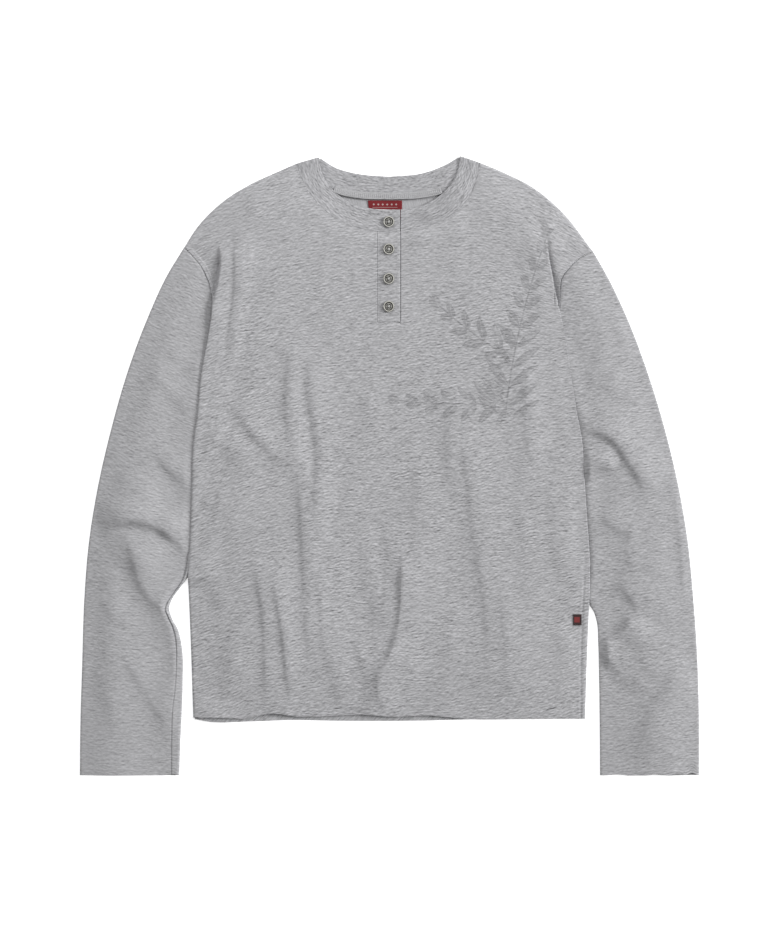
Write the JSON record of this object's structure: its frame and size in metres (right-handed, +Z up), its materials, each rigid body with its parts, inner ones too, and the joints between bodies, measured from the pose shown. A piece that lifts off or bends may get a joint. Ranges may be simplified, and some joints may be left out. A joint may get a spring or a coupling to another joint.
{
  "type": "henley shirt",
  "caption": "Long-sleeved henley shirt in grey marl jersey, laid flat, with a round neckband and a buttoned front placket.",
  "frame": {"origin": "middle of the shirt's outline in plan, on the surface that it lies on", "axes": "+X from the sleeve at the viewer's left to the one at the right, +Y from the hem towards the neck, +Z up from the surface; the front of the shirt faces up"},
  "size_m": [0.7181, 0.718, 0.0122],
  "materials": {
    "jersey": "grey marl single jersey with fine darker and lighter streaks, and a faded tonal leaf print on the chest",
    "button": "grey resin, polished rim and darker hollow",
    "neck_label": "dark red woven satin label with a plain row of small lozenges",
    "side_label": "maroon folded woven label with a plain red square"
  },
  "bodies": {
    "root": {"front_panel": "jersey", "back_panel": "jersey", "sleeve_left": "jersey", "sleeve_right": "jersey", "neckband": "jersey", "placket": "jersey", "button_1": "button", "button_2": "button", "button_3": "button", "button_4": "button", "neck_label": "neck_label", "side_label": "side_label"}
  },
  "joints": []
}
